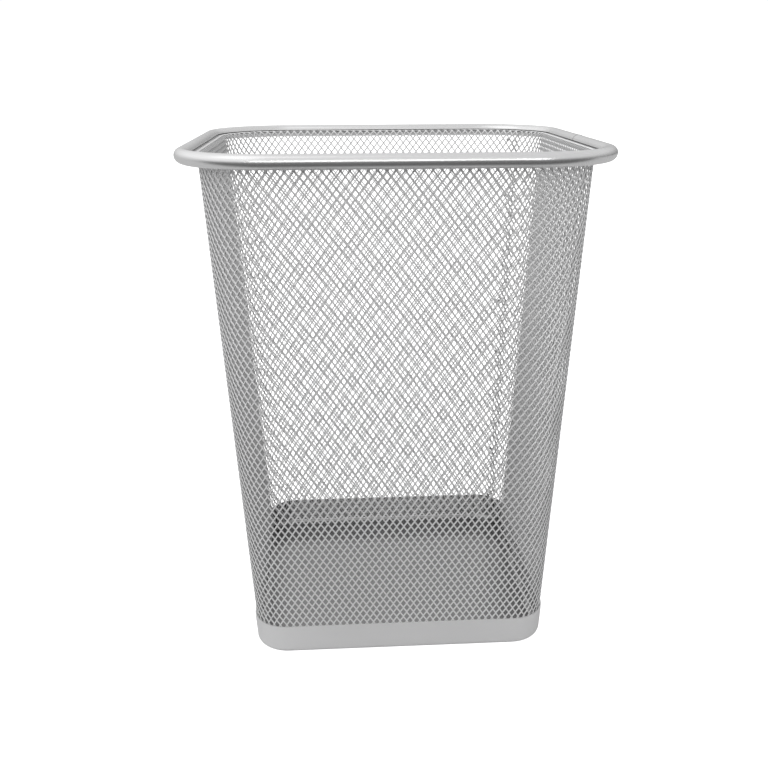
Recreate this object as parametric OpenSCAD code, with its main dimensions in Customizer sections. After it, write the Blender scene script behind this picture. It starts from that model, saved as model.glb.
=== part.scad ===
// Square mesh wastebasket: a tapered wall of expanded metal, a rolled rim round
// its mouth and a pressed pan for its base. Millimetres, +Z up. The origin is in
// the middle of the underside of the pan, and the lap of the wall is at the back
// right corner (+X, +Y).

/* [Overall] */
// Height from the floor to the top of the rim
height = 304; // [250:1:380]
// Width and depth of the wall at the middle of the rim, outside
mouth_w = 217; // [200:1:262]
// Width and depth of the wall if it ran down to the floor, outside
foot_w = 178; // [150:1:186]
// Corner radius of the wall at the middle of the rim, outside
mouth_corner_r = 42; // [30:0.5:50]
// Corner radius of the wall at the floor, outside
foot_corner_r = 19.5; // [14:0.5:24]

/* [Mesh wall] */
// Thickness of the expanded metal, over its strands
mesh_t = 0.9; // [0.6:0.1:1.4]
// First edge of the lap, as an angle round the back right corner, half a facet off
lap_start = 40.5; // [31.5:9:67.5]
// Facets of the corner that the lap covers
lap_facets = 2; // [2:1:3]
// Spot welds down the lap
lap_welds = 8; // [4:1:14]
// Diameter of a spot weld on the lap
lap_weld_d = 2.2; // [1.4:0.1:2.6]
// How far a spot weld on the lap stands proud
lap_weld_h = 0.3; // [0.2:0.1:0.6]

/* [Rim] */
// Diameter of the rolled rim
rim_d = 8; // [7:0.2:12]
// Thickness of the rim's sheet
rim_t = 0.8; // [0.5:0.1:1]
// Distance from the outside of the wall to the middle of the rim
rim_reach = 8.2; // [7.6:0.2:11]
// Inside radius of the wall's bend outwards into the rim
flare_r = 1.5; // [1:0.1:2]
// How far the edge of the wall runs into the rim
mesh_grip = 2.5; // [1.5:0.1:3]
// Gap in the rim's slot, above and below the edge of the wall
slot_gap = 0.3; // [0.2:0.1:0.6]
// Width of the butt weld that joins the rim's ends
rim_weld_w = 1.6; // [1:0.1:3]
// How far the butt weld stands proud of the rim
rim_weld_h = 0.15; // [0.1:0.05:0.3]
// Place of the butt weld along the right side, from the middle
rim_weld_y = 0; // [-60:1:60]

/* [Base pan] */
// Height of the pan's skirt
pan_h = 19; // [12:0.5:30]
// Thickness of the pan's sheet
pan_t = 0.7; // [0.5:0.1:1.2]
// Outer radius of the bend between the floor and the skirt
pan_bend_r = 4; // [3:0.5:6]
// Least gap between the wall and the skirt, met at the corners
pan_gap = 0.1; // [0.05:0.05:0.5]

/* [Spot welds of the rim and pan] */
// Spot welds along each side
side_welds = 4; // [2:1:6]
// Diameter of a spot weld
weld_d = 2; // [1:0.1:2.4]
// Height of the pan's spot welds above the floor
pan_weld_z = 11; // [8:0.5:11]

/* [Hidden] */
$fn = 96;

// Facets of each corner of the wall, and the angle of one
corner_facets = 10;
facet = 90 / corner_facets;
// A small overlap that makes one solid of two
bite = 0.1;

rim_mid = height - rim_d / 2;
lean = (mouth_w - foot_w) / 2 / rim_mid;
lean_angle = atan(lean);
r_gain = (mouth_corner_r - foot_corner_r) / rim_mid;
centre_gain = lean - r_gain;
mouth_centre = mouth_w / 2 - mouth_corner_r;
foot_centre = foot_w / 2 - foot_corner_r;
mesh_bottom = pan_bend_r;
// Where the wall starts to bend outwards, and how far out its edge lies
flare_z = rim_mid - mesh_t / 2 - flare_r;
mesh_reach = rim_reach - rim_d / 2 + mesh_grip;
flare_steps = 4;
// At the corners the wall spreads faster than the skirt, which needs this room
corner_drift = max(0, (sqrt(2) - 1) * centre_gain * pan_h);
skirt_gap = pan_gap + corner_drift;

// Middle of the corner's curve, and its radius, at height z on the wall's outside
function corner_centre(z) = foot_centre + centre_gain * z;
function corner_r(z) = foot_corner_r + r_gain * z;

// One point of the wall, at an angle round a corner. It is at height z, out from the
// line that the wall's outside follows up to its bend.
function wall_point(z, out, quarter, angle) =
    let (low = min(z, flare_z), c = corner_centre(low), r = corner_r(low) + out,
         turn = 90 * quarter, x = c + r * cos(angle), y = c + r * sin(angle))
    [x * cos(turn) - y * sin(turn), x * sin(turn) + y * cos(turn), z];

// The bend, as pairs of a height and a distance out, on the face of radius r
function flare(r) =
    [for (k = [0:flare_steps]) let (a = 90 * k / flare_steps)
     [flare_z + r * sin(a), flare_r - r * cos(a)]];

// Faces of a strip of n quads between rows i and j, each of m points
function strip(i, j, m, n) =
    [for (k = [0:n - 1]) [j * m + k, j * m + (k + 1) % m, i * m + (k + 1) % m, i * m + k]];

// Sweeps a closed section of such pairs round the whole wall
module around_wall(section) {
    m = 4 * (corner_facets + 1);
    n = len(section);
    polyhedron(
        points = [for (p = section, q = [0:3], k = [0:corner_facets])
                  wall_point(p[0], p[1], q, k * facet)],
        faces = [for (i = [0:n - 1]) each strip(i, (i + 1) % n, m, m)]);
}

// Sweeps such a section of four pairs over a count of facets from angle a of the back
// right corner, and closes its ends
module over_corner(section, a, count) {
    m = count + 1;
    polyhedron(
        points = [for (p = section, k = [0:count]) wall_point(p[0], p[1], 0, a + k * facet)],
        faces = concat([for (i = [0:3]) each strip(i, (i + 1) % 4, m, count)],
                       [[0, m, 2 * m, 3 * m], [4 * m - 1, 3 * m - 1, 2 * m - 1, m - 1]]));
}

// Sweeps an outline round the square. Its X is the distance from the corners' centres,
// which stand at centre from the middle.
module around_square(centre) {
    for (q = [0:3])
        rotate([0, 0, 90 * q]) {
            translate([centre, centre, 0]) rotate_extrude(angle = 90) children();
            translate([centre, centre, 0]) rotate([90, 0, 0])
                linear_extrude(2 * centre) children();
        }
}

// Places a child on the flat of each side, count times, at height z: its Z points
// outwards from the wall's outside, square to the leaning wall.
module on_sides(z, count) {
    reach = corner_centre(z);
    for (q = [0:3], k = [0:count - 1])
        rotate([0, 0, 90 * q])
            translate([foot_w / 2 + lean * z, reach * ((2 * k + 1) / count - 1), z])
                rotate([0, 90 + lean_angle, 0]) children();
}

// One sheet of expanded metal, rolled up and lapped over itself at one corner. Its
// top is bent outwards, and its edge lies in the slot of the rim.
module mesh_wall() {
    outer = concat([[mesh_bottom, 0]], flare(flare_r),
                   [[flare_z + flare_r, mesh_reach]]);
    inner = concat([[flare_z + flare_r + mesh_t, mesh_reach]],
                   [for (k = [flare_steps:-1:0]) flare(flare_r + mesh_t)[k]],
                   [[mesh_bottom, -mesh_t]]);
    lap_top = flare_z - bite;
    color("lightgray") union() {
        around_wall(concat(outer, inner));
        over_corner([[mesh_bottom, bite - mesh_t], [lap_top, bite - mesh_t],
                     [lap_top, -2 * mesh_t], [mesh_bottom, -2 * mesh_t]],
                    lap_start, lap_facets);
    }
}

// The welds down the middle of the lap, on its inner face
module lap_spot_welds() {
    facet_angle = lap_start + facet * (floor(lap_facets / 2) + 0.5);
    apothem = cos(facet / 2);
    facet_lean = centre_gain * (cos(facet_angle) + sin(facet_angle)) + r_gain * apothem;
    first = pan_h + lap_weld_d;
    last = height - rim_d - lap_weld_d;
    for (k = [0:lap_welds - 1]) {
        z = first + (last - first) * k / (lap_welds - 1);
        c = corner_centre(z);
        r = (corner_r(z) - 2 * mesh_t) * apothem;
        color("silver")
        translate([c + r * cos(facet_angle), c + r * sin(facet_angle), z])
            rotate([0, -90 + atan(facet_lean), facet_angle])
                cylinder(h = lap_weld_h, d = lap_weld_d, $fn = 32);
    }
}

// Distance from the centre of the mouth's corner to the middle of the rim
rim_line = mouth_corner_r + rim_reach;
slot_h = mesh_t + 2 * slot_gap;

// The sheet of the rim: a tube with a slot along its inner side. It is drawn this
// far in from its skin, and this thick.
module rim_section(inset = 0, thickness = rim_t) {
    translate([rim_line, 0]) difference() {
        circle(d = rim_d - 2 * inset);
        circle(d = rim_d - 2 * inset - 2 * thickness);
        translate([-rim_d, -slot_h / 2]) square([rim_d, slot_h]);
    }
}

// The rolled tube round the mouth, with room for its butt weld
module rim_channel() {
    color("gainsboro") difference() {
        translate([0, 0, rim_mid]) around_square(mouth_centre) rim_section();
        translate([0, rim_weld_y - rim_weld_w / 2, rim_mid - rim_d])
            cube([mouth_w, rim_weld_w, 2 * rim_d]);
    }
}

// The bead that joins the two ends of the rim
module rim_joint_weld() {
    color("silver")
    translate([mouth_centre, rim_weld_y + rim_weld_w / 2, rim_mid])
        rotate([90, 0, 0]) linear_extrude(rim_weld_w)
            rim_section(-rim_weld_h, rim_t + rim_weld_h);
}

// The spots between the lower lip of the rim's slot and the edge of the wall
module rim_spot_welds() {
    lip = mouth_centre + rim_line - (rim_d - rim_t) / 2;
    color("silver") for (q = [0:3], k = [0:side_welds - 1]) rotate([0, 0, 90 * q])
        translate([lip, mouth_centre * ((2 * k + 1) / side_welds - 1), rim_mid - slot_h / 2])
            cylinder(h = slot_gap, d = weld_d, $fn = 32);
}

// Distance from the corners' centres to the skirt's outside, at the floor
skirt_face = foot_corner_r + (skirt_gap + pan_t) / cos(lean_angle);

// Distance from the corners' centres to where the bend starts, at the floor
bend_start = skirt_face + lean * pan_bend_r - pan_bend_r / cos(lean_angle);

// What lies inside one face of the pan's sheet: floor, bend of radius r, leaning
// skirt. It runs past the sheet's ends by this much.
module pan_inside(r, past) {
    bend = [bend_start, pan_bend_r];
    out = [cos(lean_angle), -sin(lean_angle)];
    along = [sin(lean_angle), cos(lean_angle)];
    run = (pan_h + past - pan_bend_r + r * sin(lean_angle)) / cos(lean_angle);
    inner_end = bend_start - pan_bend_r - past;
    translate(bend) circle(r = r);
    polygon([bend, bend + r * out, bend + r * out + run * along, [inner_end, pan_h + past],
             [inner_end, pan_bend_r - r], [bend_start, pan_bend_r - r]]);
}

// Section of the skirt, its bend and a strip of the floor, standing on Y = 0
module pan_section() {
    difference() {
        pan_inside(pan_bend_r, 0);
        pan_inside(pan_bend_r - pan_t, pan_bend_r);
    }
}

// Floor of the pan, out to where its bend starts
module pan_floor() {
    linear_extrude(pan_t) {
        square([2 * (foot_centre + bend_start), 2 * foot_centre], center = true);
        square([2 * foot_centre, 2 * (foot_centre + bend_start)], center = true);
        for (x = [-1, 1], y = [-1, 1])
            translate([x * foot_centre, y * foot_centre]) circle(r = bend_start);
    }
}

// One pressed sheet: a flat floor and the skirt that wraps the foot of the wall
module base_pan() {
    color("silver") union() {
        pan_floor();
        around_square(foot_centre) pan_section();
    }
}

// The spots between the wall's outside and the inside of the skirt
module base_spot_welds() {
    color("silver") on_sides(pan_weld_z, side_welds)
        cylinder(h = skirt_gap, d = weld_d, $fn = 32);
}

mesh_wall();
lap_spot_welds();
rim_channel();
rim_joint_weld();
rim_spot_welds();
base_pan();
base_spot_welds();
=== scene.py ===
"""Square wastebasket: an expanded-metal wall, a rolled rim, a pressed pan and the welds that join them."""

from math import asin, cos, pi, radians, sin

import bpy
import numpy as np
from mathutils import Matrix, Vector


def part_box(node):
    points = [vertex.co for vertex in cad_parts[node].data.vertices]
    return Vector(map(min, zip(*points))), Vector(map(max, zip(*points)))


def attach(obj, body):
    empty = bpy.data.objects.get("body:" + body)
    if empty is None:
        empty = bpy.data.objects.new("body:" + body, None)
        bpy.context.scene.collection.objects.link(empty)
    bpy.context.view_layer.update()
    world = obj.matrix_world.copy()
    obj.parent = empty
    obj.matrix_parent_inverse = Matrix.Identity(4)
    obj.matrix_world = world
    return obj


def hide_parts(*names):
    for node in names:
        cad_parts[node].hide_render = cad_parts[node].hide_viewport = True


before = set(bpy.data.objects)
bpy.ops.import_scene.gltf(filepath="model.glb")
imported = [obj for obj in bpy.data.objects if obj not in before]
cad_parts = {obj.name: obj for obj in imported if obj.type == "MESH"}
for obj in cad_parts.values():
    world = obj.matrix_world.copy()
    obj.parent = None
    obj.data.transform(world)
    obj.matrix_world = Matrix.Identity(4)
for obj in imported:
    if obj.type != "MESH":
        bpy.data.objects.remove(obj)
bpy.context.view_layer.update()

# ---------------------------------------------------------------------------
# The wall: one sheet of steel, slit and stretched into diamonds and rolled into a
# tapered square tube. It laps over itself at the back right corner, where it is spot
# welded, and its top is bent outwards, to lie in the slot of the rim.

wall_low, wall_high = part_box("mesh_wall")
MM = 0.001
SHEET_DEPTH = 0.9 * MM
BEND_RADIUS = 1.5 * MM
EDGE_REACH = 6.7 * MM
FOOT_HALF = 89 * MM
FOOT_CORNER = 19.5 * MM
CORNER_SPREAD = 0.075  # what the corner's radius gains for each unit of height
CELL_COLUMNS = 168
LAP_COLUMNS = 2
TRIM_FROM = CELL_COLUMNS + 0.25
TRIM_ROWS = 2
CELL_ROWS = 49
ROW_SQUEEZE = 0.04  # how much the lowest row is taller, and the top row lower, than the mean
CELL_WIDTH = 4.4 * MM
CELL_HEIGHT = 6.3 * MM
STRAND_WIDTH = 0.82 * MM
STRAND_DEPTH = 0.42 * MM
LOUVRE = 0.42 * MM  # how far each strand's edges stand in and out of the sheet
BOND_CUT = 0.3 * MM
LAP_START = radians(40.5)
bend_z = wall_high[2] - SHEET_DEPTH - BEND_RADIUS
bend_half = wall_high[0] - EDGE_REACH
bend_run = pi / 2 * (BEND_RADIUS + SHEET_DEPTH / 2)
lean = (bend_half - FOOT_HALF) / bend_z


def only(obj):
    """Selects this object alone and makes it the active one."""
    bpy.ops.object.select_all(action="DESELECT")
    obj.select_set(True)
    bpy.context.view_layer.objects.active = obj
    return obj


def edit(mode="FACE"):
    """Opens the active object's mesh, to select by face unless told otherwise."""
    bpy.ops.object.mode_set(mode="EDIT")
    bpy.ops.mesh.select_mode(type=mode)


def done():
    bpy.ops.object.mode_set(mode="OBJECT")


def deselect(obj):
    """Makes the object active, with nothing in its mesh selected."""
    only(obj)
    edit()
    bpy.ops.mesh.select_all(action="DESELECT")
    done()


def vertices(obj):
    """The object's vertices as an array of rows X, Y, Z."""
    rows = np.empty(3 * len(obj.data.vertices))
    obj.data.vertices.foreach_get("co", rows)
    return rows.reshape(-1, 3)


def middles(faces):
    """The middles of a mesh's faces as an array of rows X, Y, Z."""
    rows = np.empty(3 * len(faces))
    faces.foreach_get("center", rows)
    return rows.reshape(-1, 3)


def place(obj, rows):
    """Moves the object's vertices to an array of rows X, Y, Z."""
    obj.data.vertices.foreach_set("co", np.ascontiguousarray(rows, float).ravel())
    obj.data.update()


def pick(items, chosen):
    """Sets the select flag of a mesh's vertices, edges or faces from a list of truths."""
    items.foreach_set("select", np.asarray(chosen, bool))


def stretch_diamonds():
    """A flat sheet of diamonds: a grid is poked and its own edges are dissolved."""
    bpy.ops.mesh.primitive_grid_add(
        x_subdivisions=CELL_COLUMNS + LAP_COLUMNS, y_subdivisions=CELL_ROWS, size=1,
        calc_uvs=False, location=(0, 0, 0))
    sheet = only(bpy.context.object)
    size = ((CELL_COLUMNS + LAP_COLUMNS) * CELL_WIDTH, CELL_ROWS * CELL_HEIGHT)
    corners = len(sheet.data.vertices)
    edit()
    bpy.ops.mesh.select_all(action="SELECT")
    bpy.ops.transform.resize(value=(size[0], size[1], 1))
    bpy.ops.transform.translate(value=(size[0] / 2, size[1] / 2, 0))
    bpy.ops.mesh.poke()
    bpy.ops.mesh.select_all(action="DESELECT")
    done()
    ends = np.empty(2 * len(sheet.data.edges), int)
    sheet.data.edges.foreach_get("vertices", ends)
    pick(sheet.data.edges, (ends.reshape(-1, 2) < corners).all(axis=1))
    edit("EDGE")
    bpy.ops.mesh.dissolve_edges(use_verts=False)
    bpy.ops.mesh.select_mode(type="FACE")
    bpy.ops.mesh.select_face_by_sides(number=3, type="EQUAL")
    bpy.ops.mesh.delete(type="FACE")
    done()
    return sheet


def open_diamonds(sheet):
    """Insets each diamond to leave strands round it, tilts them as louvres and opens it."""
    only(sheet)
    edit()
    bpy.ops.mesh.select_all(action="SELECT")
    bpy.ops.mesh.inset(thickness=STRAND_WIDTH / 2, use_individual=True)
    done()
    faces = sheet.data.polygons
    chosen = np.empty(len(faces), bool)
    faces.foreach_get("select", chosen)
    holes = np.array([faces[i].vertices[:] for i in np.flatnonzero(chosen)])
    rows = vertices(sheet)
    away = rows[holes] - rows[holes].mean(axis=1, keepdims=True)
    rows[holes, 2] += LOUVRE * away[:, :, 1] / (CELL_HEIGHT / 2)
    place(sheet, rows)
    side = np.zeros(len(rows), bool)
    side[holes[np.abs(away[:, :, 0]) > CELL_WIDTH / 4]] = True
    deselect(sheet)
    pick(sheet.data.vertices, side)
    edit("VERT")
    bpy.ops.mesh.bevel(offset=BOND_CUT, offset_type="OFFSET", segments=1, affect="VERTICES")
    bpy.ops.mesh.select_all(action="DESELECT")
    bpy.ops.mesh.select_mode(type="FACE")
    bpy.ops.mesh.select_face_by_sides(number=6, type="EQUAL")
    bpy.ops.mesh.delete(type="ONLY_FACE")
    done()


def climb(path, depth):
    """Heights, and distances out from the line of the wall's outside, at a length of
    path up the wall, round its bend and out to its edge."""
    turned = path - (bend_z - wall_low[2])
    angle = np.clip(turned / bend_run, 0, 1) * pi / 2
    radius = BEND_RADIUS + depth
    z = np.minimum(wall_low[2] + path, bend_z) + radius * np.sin(angle)
    out = BEND_RADIUS - radius * np.cos(angle) + np.maximum(turned - bend_run, 0)
    return z, out


def outline(share, z, out):
    """Points on the wall: a share of the way round from the middle of the right side."""
    low = np.minimum(z, bend_z)
    radius = FOOT_CORNER + CORNER_SPREAD * low
    centre = FOOT_HALF + lean * low - radius
    quarter = 2 * centre + pi / 2 * radius
    run = (share % 1) * 4 * quarter + centre
    side = np.floor(run / quarter)
    run = run - side * quarter
    turn = np.clip((run - 2 * centre) / radius, 0, pi / 2)
    x = centre + (radius + out) * np.cos(turn)
    y = np.minimum(run - centre, centre) + (radius + out) * np.sin(turn)
    across, along = np.cos(side * pi / 2), np.sin(side * pi / 2)
    return np.stack([x * across - y * along, x * along + y * across, z], axis=1)


def roll_up(sheet):
    """Wraps the flat sheet round the square, with its last columns inside its first ones."""
    rows = vertices(sheet)
    column = rows[:, 0] / CELL_WIDTH
    whole_path = bend_z - wall_low[2] + bend_run + EDGE_REACH - BEND_RADIUS
    mouth_corner = FOOT_CORNER + CORNER_SPREAD * bend_z
    round_way = 8 * (bend_half - mouth_corner) + 2 * pi * mouth_corner
    first = 1 / 8 + (LAP_START - pi / 4) * mouth_corner / round_way
    row = rows[:, 1] / CELL_HEIGHT
    share = row / CELL_ROWS
    path = whole_path * (share + ROW_SQUEEZE * share * (1 - share))
    under = np.clip(column - CELL_COLUMNS + 1, 0, 1) * np.clip(CELL_ROWS - 1 - row, 0, 1)
    z, out = climb(path, SHEET_DEPTH / 2 - rows[:, 2] + SHEET_DEPTH * under)
    place(sheet, outline(first + column / CELL_COLUMNS, z, out))


def trim_lap(sheet):
    """Cuts the top of the lap off, so that one layer alone is bent into the rim's slot."""
    deselect(sheet)
    faces = sheet.data.polygons
    x, y = middles(faces)[:, :2].T
    pick(faces, (x > TRIM_FROM * CELL_WIDTH) & (y > (CELL_ROWS - TRIM_ROWS) * CELL_HEIGHT))
    edit()
    bpy.ops.mesh.delete(type="FACE")
    done()


def finish_with(obj, kind, **settings):
    """Adds a modifier and applies it."""
    only(obj)
    modifier = obj.modifiers.new(kind.title(), kind)
    for name, value in settings.items():
        setattr(modifier, name, value)
    bpy.ops.object.modifier_apply(modifier=modifier.name)


def clear_and_name(obj, name):
    """Applies the object's place to its mesh, and names both."""
    only(obj)
    bpy.ops.object.transform_apply(location=True, rotation=True, scale=True)
    obj.name = name
    obj.data.name = name


def cut_in_four(sheet):
    """Parts the sheet into four runs of columns, so that each stays a light mesh."""
    runs = []
    for cut in (1, 2, 3):
        deselect(sheet)
        faces = sheet.data.polygons
        limit = cut * (CELL_COLUMNS + LAP_COLUMNS) / 4 * CELL_WIDTH
        pick(faces, middles(faces)[:, 0] < limit)
        edit()
        bpy.ops.mesh.separate(type="SELECTED")
        done()
        runs.append(next(o for o in bpy.context.selected_objects if o != sheet))
    return runs + [sheet]


sheet = stretch_diamonds()
open_diamonds(sheet)
trim_lap(sheet)
mesh_runs = cut_in_four(sheet)
for run, side in zip(mesh_runs, ("back", "left", "front", "right")):
    run.data.materials.append(None)
    run.data.materials.append(None)
    roll_up(run)
    finish_with(run, "SOLIDIFY", thickness=STRAND_DEPTH, offset=0, material_offset_rim=1)
    clear_and_name(run, f"mesh_{side}")

# The finish all over is one coat of silver lacquer, baked on. It is faintly cloudy,
# finely flecked with aluminium and duller where dust settles, and painted shade darkens
# its colour towards the foot. Each piece takes it with its own tone and gloss.

# Painted shade: the colour darkens from this height down towards the foot.
PAINTED_SHADE_TOP = 280 * MM
DUST_COLOUR = (0.55, 0.54, 0.52, 1)
DUST_SLOPE = 0.55  # dust lies on faces whose normal rises more steeply than this
ROUGH_CLOUDS = 0.12
ROUGH_DUST = 0.5
FLECK_RELIEF = 0.3


def lacquer_group():
    """The lacquer's colour, roughness and relief over a piece."""
    tree = bpy.data.node_groups.new("silver_lacquer", "ShaderNodeTree")
    face = tree.interface
    for name, kind, value in (
        ("Tone", "NodeSocketColor", (0.6, 0.6, 0.6, 1)),
        ("Cloud", "NodeSocketFloat", 0.06),
        ("Fleck", "NodeSocketFloat", 0.08),
        ("Dullness", "NodeSocketFloat", 0.35),
        ("Dust", "NodeSocketFloat", 0.1),
        ("Painted Foot Shade", "NodeSocketFloat", 0),
    ):
        socket = face.new_socket(name=name, in_out="INPUT", socket_type=kind)
        socket.default_value = value
    for name, kind in (("Color", "NodeSocketColor"), ("Roughness", "NodeSocketFloat"),
                       ("Height", "NodeSocketFloat")):
        face.new_socket(name=name, in_out="OUTPUT", socket_type=kind)
    new, link = tree.nodes.new, tree.links.new
    given, result = new("NodeGroupInput"), new("NodeGroupOutput")
    where = new("ShaderNodeTexCoord").outputs["Object"]

    def noise(scale, detail):
        node = new("ShaderNodeTexNoise")
        node.inputs["Scale"].default_value = scale
        node.inputs["Detail"].default_value = detail
        link(where, node.inputs["Vector"])
        return node.outputs["Fac"]

    def maths(operation, a, b, clamp=False):
        node = new("ShaderNodeMath")
        node.operation = operation
        node.use_clamp = clamp
        for socket, value in zip(node.inputs, (a, b)):
            if isinstance(value, (int, float)):
                socket.default_value = value
            else:
                link(value, socket)
        return node.outputs[0]

    clouds = noise(scale=18, detail=3)
    flecks = noise(scale=2600, detail=1)
    peel = noise(scale=420, detail=2)
    dust_spread = noise(scale=55, detail=4)
    cloudy = maths("MULTIPLY", maths("SUBTRACT", clouds, 0.5), given.outputs["Cloud"])
    flecked = maths("MULTIPLY", maths("SUBTRACT", flecks, 0.5), given.outputs["Fleck"])
    height = new("ShaderNodeSeparateXYZ")
    link(where, height.inputs[0])
    # Painted shade: the colour is darkened the more, the lower it lies, down to the foot.
    low_down = maths("SUBTRACT", 1, maths("DIVIDE", height.outputs["Z"], PAINTED_SHADE_TOP), clamp=True)
    painted_foot_darkening = maths("MULTIPLY", low_down, given.outputs["Painted Foot Shade"])
    gain = maths("SUBTRACT", maths("ADD", maths("ADD", cloudy, flecked), 1), painted_foot_darkening)
    toned = new("ShaderNodeVectorMath")
    toned.operation = "SCALE"
    link(given.outputs["Tone"], toned.inputs[0])
    link(gain, toned.inputs["Scale"])
    up = new("ShaderNodeSeparateXYZ")
    link(new("ShaderNodeNewGeometry").outputs["Normal"], up.inputs[0])
    level = maths("SUBTRACT", up.outputs["Z"], DUST_SLOPE, clamp=True)
    settled = maths("MULTIPLY", level, dust_spread)
    dusty = maths("MULTIPLY", settled, given.outputs["Dust"], clamp=True)
    mixed = new("ShaderNodeMix")
    mixed.data_type = "RGBA"
    mixed.inputs["B"].default_value = DUST_COLOUR
    link(dusty, mixed.inputs["Factor"])
    link(toned.outputs[0], mixed.inputs["A"])
    link(mixed.outputs["Result"], result.inputs["Color"])
    uneven = maths("MULTIPLY", maths("SUBTRACT", clouds, 0.5), ROUGH_CLOUDS)
    rough = maths("ADD", given.outputs["Dullness"], uneven)
    link(maths("ADD", rough, maths("MULTIPLY", dusty, ROUGH_DUST), clamp=True), result.inputs["Roughness"])
    link(maths("ADD", peel, maths("MULTIPLY", flecks, FLECK_RELIEF)), result.inputs["Height"])
    return tree


lacquer = lacquer_group()


BLUE_CAST = 1.005
RELIEF_DEPTH = 0.05 * MM


# The last argument sets how much painted shade darkens the colour towards the foot.
def silver(name, tone, dullness, cloud=0.06, fleck=0.1, dust=0.2, relief=0.15, metal=0.85, painted_foot_shade=0):
    """A material with the lacquer over it."""
    material = bpy.data.materials.new(name)
    material.use_nodes = True
    nodes, links = material.node_tree.nodes, material.node_tree.links
    shader = nodes["Principled BSDF"]
    shader.inputs["Metallic"].default_value = metal
    shader.inputs["IOR"].default_value = 1.5
    coat = nodes.new("ShaderNodeGroup")
    coat.node_tree = lacquer
    colour = (tone, tone, tone * BLUE_CAST, 1)
    for socket, value in zip(coat.inputs, (colour, cloud, fleck, dullness, dust, painted_foot_shade)):
        socket.default_value = value
    bump = nodes.new("ShaderNodeBump")
    bump.inputs["Strength"].default_value = relief
    bump.inputs["Distance"].default_value = RELIEF_DEPTH
    links.new(coat.outputs["Color"], shader.inputs["Base Color"])
    links.new(coat.outputs["Roughness"], shader.inputs["Roughness"])
    links.new(coat.outputs["Height"], bump.inputs["Height"])
    links.new(bump.outputs["Normal"], shader.inputs["Normal"])
    return material


# The slit edges of the strands are darker than their faces: partly thinner lacquer on the sheared edges,
# partly painted shade along them.
mesh_silver = silver("mesh_silver", tone=0.87, dullness=0.42, metal=0.4, painted_foot_shade=0.15)
edge_lacquer_and_painted_shade = silver("edge_lacquer_and_painted_shade", tone=0.36, dullness=0.5, metal=0.5, painted_foot_shade=0.15)
for run in mesh_runs:
    run.material_slots[0].material = mesh_silver
    run.material_slots[1].material = edge_lacquer_and_painted_shade
    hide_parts("mesh_wall")
    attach(run, "root")

# ---------------------------------------------------------------------------
# The rim: a strip of sheet steel rolled into a tube, with a slot along its inner side
# that takes the edge of the wall. Its sides and corners are bent from one length.

rim_low, rim_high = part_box("rim_channel")
RIM_THICKNESS = 0.8 * MM
SLOT_HEIGHT = 1.5 * MM
STRAIGHT_STEPS = 20
CORNER_STEPS = 24
RIM_STEPS = 40
NEAR = 0.01 * MM
SMOOTH_ANGLE = radians(35)
rim_radius = (rim_high[2] - rim_low[2]) / 2
rim_middle = rim_high[2] - rim_radius
rim_line = rim_high[0] - rim_radius
mouth_centre = FOOT_HALF - FOOT_CORNER + (lean - CORNER_SPREAD) * rim_middle


def start_point(name, x, z):
    """An object of one vertex, in edit mode, which is then drawn out into a section."""
    bpy.ops.mesh.primitive_plane_add(size=MM, location=(0, 0, 0))
    obj = bpy.context.object
    obj.name = name
    edit("VERT")
    bpy.ops.mesh.select_all(action="SELECT")
    bpy.ops.mesh.merge(type="CENTER")
    bpy.ops.transform.translate(value=(x, 0, z))
    return obj


def bend(x, z, angle, steps):
    """Spins the selected point round a centre, from +X towards +Z for a positive angle."""
    bpy.ops.mesh.spin(steps=steps, angle=angle, center=(x, 0, z), axis=(0, 1, 0))


def draw_by(x, y, z):
    """Extrudes what is selected by one step."""
    bpy.ops.mesh.extrude_region_move(TRANSFORM_OT_translate={"value": (x, y, z)})


def sweep_round(centre):
    """Draws the whole section along each straight side, and round each corner."""
    bpy.ops.mesh.select_all(action="SELECT")
    bpy.ops.transform.translate(value=(0, -centre, 0))
    directions = ((0, 1), (-1, 0), (0, -1), (1, 0))
    corners = ((1, 1), (-1, 1), (-1, -1), (1, -1))
    for way, corner in zip(directions, corners):
        step = 2 * centre / STRAIGHT_STEPS
        for _ in range(STRAIGHT_STEPS):
            draw_by(way[0] * step, way[1] * step, 0)
        bpy.ops.mesh.spin(steps=CORNER_STEPS, angle=pi / 2,
                          center=(corner[0] * centre, corner[1] * centre, 0), axis=(0, 0, -1))
    bpy.ops.mesh.select_all(action="SELECT")
    bpy.ops.mesh.remove_doubles(threshold=NEAR)
    bpy.ops.mesh.normals_make_consistent(inside=False)


def draw_rim_section(name, proud):
    """The outer face of the tube, from one lip of its slot round to the other."""
    radius = rim_radius + proud
    lip = asin(SLOT_HEIGHT / 2 / radius)
    obj = start_point(name, rim_line - radius * cos(lip), rim_middle - radius * sin(lip))
    bend(rim_line, rim_middle, 2 * (pi - lip), RIM_STEPS)
    bpy.ops.mesh.select_all(action="SELECT")
    return obj


def smooth(obj):
    """Shades the object smooth, but for its sharp edges."""
    only(obj)
    bpy.ops.object.shade_smooth_by_angle(angle=SMOOTH_ANGLE)


rim = draw_rim_section("rim", proud=0)
sweep_round(mouth_centre)
done()
# The inside of the tube is near black and dull: painted shade, which darkens the slot along the rim's
# inner side.
rim.data.materials.append(silver("rim_silver", tone=0.8, dullness=0.27, cloud=0.05, relief=0.08))
rim.data.materials.append(silver("painted_shade_tube_inside", tone=0.06, dullness=0.6, cloud=0.4, metal=0.3))
finish_with(rim, "SOLIDIFY", thickness=RIM_THICKNESS, offset=-1, use_even_offset=True,
            material_offset=1, material_offset_rim=1)
smooth(rim)
clear_and_name(rim, "rim")
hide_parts("rim_channel")
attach(rim, "root")

# ---------------------------------------------------------------------------
# The rim's weld: the two ends of its strip meet in a butt weld on the right side,
# dressed nearly flush and painted over.

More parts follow.
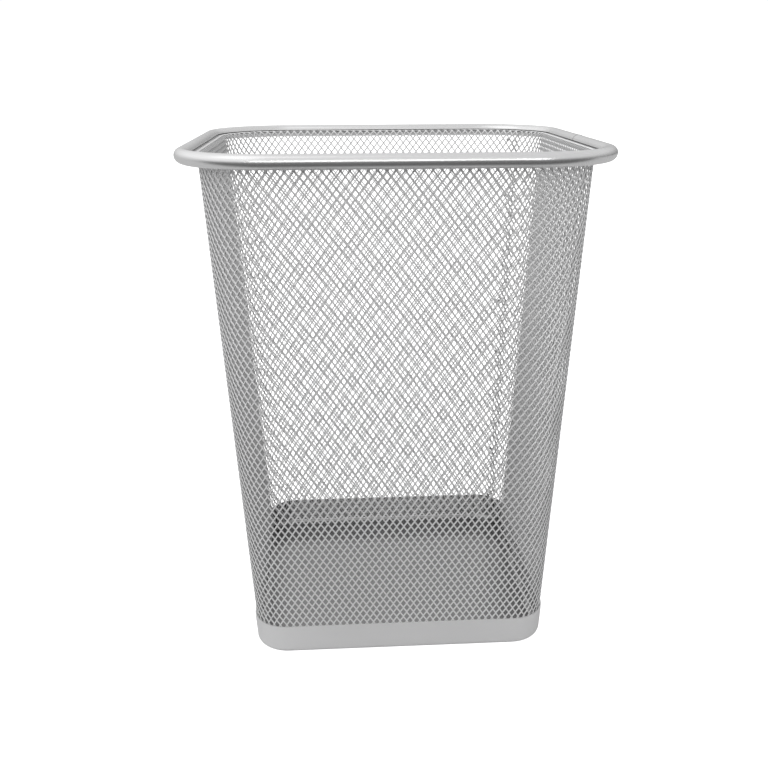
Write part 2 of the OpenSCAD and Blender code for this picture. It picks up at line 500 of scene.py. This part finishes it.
weld_low, weld_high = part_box("rim_joint_weld")
BEAD_STEPS = 6
bead = draw_rim_section("rim_weld_bead", proud=weld_high[0] - rim_high[0])
bpy.ops.transform.translate(value=(0, weld_low[1], 0))
for _ in range(BEAD_STEPS):
    draw_by(0, (weld_high[1] - weld_low[1]) / BEAD_STEPS, 0)
bpy.ops.mesh.select_all(action="SELECT")
bpy.ops.mesh.normals_make_consistent(inside=False)
done()
finish_with(bead, "SOLIDIFY", thickness=RIM_THICKNESS, offset=-1, use_even_offset=True)
smooth(bead)
clear_and_name(bead, "rim_weld_bead")
weld_silver = silver("weld_silver", tone=0.5, dullness=0.45, cloud=0.3, relief=0.5)
bead.data.materials.append(weld_silver)
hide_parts("rim_joint_weld")
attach(bead, "root")

# ---------------------------------------------------------------------------
# The base pan: one pressed sheet of steel, with a flat floor, a tight bend and a
# skirt that leans as the wall does and wraps its foot.

pan_low, pan_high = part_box("base_pan")
PAN_THICKNESS = 0.7 * MM
PAN_BEND = 4 * MM
BEND_STEPS = 8
SKIRT_STEPS = 4
FLOOR_BORDER = 2 * MM
foot_centre = FOOT_HALF - FOOT_CORNER
skirt_top = pan_high[0]
skirt_run = pan_high[2] - PAN_BEND
bend_x = skirt_top - lean * skirt_run - PAN_BEND

pan = start_point("pan", bend_x, 0)
bend(bend_x, PAN_BEND, pi / 2, BEND_STEPS)
for _ in range(SKIRT_STEPS):
    draw_by(lean * skirt_run / SKIRT_STEPS, 0, skirt_run / SKIRT_STEPS)
sweep_round(foot_centre)
bpy.ops.mesh.select_all(action="DESELECT")
done()
pick(pan.data.vertices, vertices(pan)[:, 2] < NEAR)
edit("VERT")
bpy.ops.mesh.edge_face_add()
bpy.ops.mesh.select_mode(type="FACE")
bpy.ops.mesh.inset(thickness=FLOOR_BORDER)
bpy.ops.mesh.select_all(action="SELECT")
bpy.ops.mesh.normals_make_consistent(inside=False)
done()
# The inside of the pan is glossier and mirrors the foot of the wall; its darker tone than the outside is
# painted shade.
pan_silver = silver("pan_silver", tone=0.84, dullness=0.3, cloud=0.05, fleck=0.05, metal=0.75)
pan_inside_painted_shade = silver(
    "pan_inside_painted_shade", tone=0.36, dullness=0.18, cloud=0.05, fleck=0.04, dust=0.04, relief=0.03,
    metal=0.95)
pan.data.materials.append(pan_silver)
pan.data.materials.append(pan_inside_painted_shade)
finish_with(pan, "SOLIDIFY", thickness=PAN_THICKNESS, offset=-1, use_even_offset=True,
            material_offset=1, material_offset_rim=0)
smooth(pan)
clear_and_name(pan, "pan")
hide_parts("base_pan")
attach(pan, "root")

# ---------------------------------------------------------------------------
# The spot welds stay as designed: small discs that join the lap, the lip of the
# rim and the skirt to the wall, painted over with the rest.

for name in ("lap_spot_welds", "rim_spot_welds", "base_spot_welds"):
    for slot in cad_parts[name].material_slots:
        slot.material = weld_silver

# ---------------------------------------------------------------------------
# The stage: a white studio. Soft light comes from all round, more of it from above
# and from the left. For the light and reflections it gives the basket, the pale floor's colour
# is painted: a painted pool of light round the basket, and painted shade in front.


def white_to_camera(tree, lit, white):
    """Joins two shaders: what lights the basket, and the plain white that is looked at."""
    path = tree.nodes.new("ShaderNodeLightPath")
    mix = tree.nodes.new("ShaderNodeMixShader")
    tree.links.new(path.outputs["Is Camera Ray"], mix.inputs[0])
    tree.links.new(lit, mix.inputs[1])
    tree.links.new(white, mix.inputs[2])
    return mix.outputs[0]


def ramp(tree, value, low, high, dim, bright):
    """A brightness that goes from dim to bright as a value goes from low to high."""
    node = tree.nodes.new("ShaderNodeMapRange")
    for socket, number in (("From Min", low), ("From Max", high), ("To Min", dim), ("To Max", bright)):
        node.inputs[socket].default_value = number
    tree.links.new(value, node.inputs["Value"])
    return node.outputs["Result"]


bpy.ops.mesh.primitive_circle_add(vertices=96, radius=6, fill_type="NGON", location=(0, 0, 0))
floor = bpy.context.object
floor.name = "stage_floor"
paper = bpy.data.materials.new("pale_paper")
paper.use_nodes = True
tree = paper.node_tree
matt = tree.nodes["Principled BSDF"]
matt.inputs["Roughness"].default_value = 0.9
spread = tree.nodes.new("ShaderNodeSeparateXYZ")
tree.links.new(tree.nodes.new("ShaderNodeTexCoord").outputs["Object"], spread.inputs[0])
# Painted light: the floor's colour, seen only in bounce light and reflections, is bright near the basket
# and dark in front.
painted_floor_light = ramp(tree, spread.outputs["Y"], low=-0.32, high=-0.11, dim=0.06, bright=0.65)
tree.links.new(painted_floor_light, matt.inputs["Base Color"])
pale = tree.nodes.new("ShaderNodeBsdfDiffuse")
pale.inputs["Color"].default_value = (0.8, 0.8, 0.8, 1)
glow = tree.nodes.new("ShaderNodeEmission")
glow.inputs["Strength"].default_value = 0.95
seen = tree.nodes.new("ShaderNodeAddShader")
tree.links.new(pale.outputs[0], seen.inputs[0])
tree.links.new(glow.outputs[0], seen.inputs[1])
tree.links.new(white_to_camera(tree, matt.outputs[0], seen.outputs[0]),
               tree.nodes["Material Output"].inputs["Surface"])
floor.data.materials.append(paper)

world = bpy.data.worlds.new("studio")
bpy.context.scene.world = world
world.use_nodes = True
tree = world.node_tree
room = tree.nodes["Background"]
room.inputs["Color"].default_value = (1, 1, 1, 1)
facing = tree.nodes.new("ShaderNodeSeparateXYZ")
tree.links.new(tree.nodes.new("ShaderNodeTexCoord").outputs["Generated"], facing.inputs[0])
from_above = ramp(tree, facing.outputs["Z"], low=-0.05, high=0.4, dim=0.2, bright=0.75)
from_left = ramp(tree, facing.outputs["X"], low=0.2, high=-0.8, dim=0, bright=0.35)
both = tree.nodes.new("ShaderNodeMath")
tree.links.new(from_above, both.inputs[0])
tree.links.new(from_left, both.inputs[1])
tree.links.new(both.outputs[0], room.inputs["Strength"])
white = tree.nodes.new("ShaderNodeBackground")
white.inputs["Strength"].default_value = 1.3
tree.links.new(white_to_camera(tree, room.outputs[0], white.outputs[0]),
               tree.nodes["World Output"].inputs["Surface"])


def softbox(name, place_at, size, power):
    """An area light that looks at the middle of the basket."""
    target = Vector((0, 0, rim_middle / 2))
    lamp = bpy.data.lights.new(name, "AREA")
    lamp.shape = "RECTANGLE"
    lamp.size, lamp.size_y = size
    lamp.energy = power
    obj = bpy.data.objects.new(name, lamp)
    bpy.context.scene.collection.objects.link(obj)
    obj.location = place_at
    obj.rotation_euler = (target - Vector(place_at)).to_track_quat("-Z", "Y").to_euler()


softbox("top_light", place_at=(-0.5, -0.3, 1.3), size=(0.9, 0.9), power=1)
softbox("low_strip", place_at=(0, -1.8, 0.78), size=(1.8, 0.14), power=5)

# ---------------------------------------------------------------------------
# The camera stands in front of the basket, a little to its left, and looks down.

CAMERA_PLACE = (-34.1 * MM, -605.4 * MM, 346.6 * MM)
CAMERA_PITCH, CAMERA_YAW, CAMERA_ROLL = radians(18.48), radians(3.73), radians(-0.14)
camera = bpy.data.objects.new("camera", bpy.data.cameras.new("camera"))
bpy.context.scene.collection.objects.link(camera)
bpy.context.scene.camera = camera
camera.matrix_world = (
    Matrix.Translation(CAMERA_PLACE)
    @ Matrix.Rotation(-CAMERA_YAW, 4, "Z")
    @ Matrix.Rotation(pi / 2 - CAMERA_PITCH, 4, "X")
    @ Matrix.Rotation(CAMERA_ROLL, 4, "Z")
)
camera.data.sensor_width = 36
camera.data.lens = 45.1
camera.data.shift_x = -0.0208
camera.data.clip_start = 0.01

bpy.context.scene.view_settings.view_transform = "Standard"
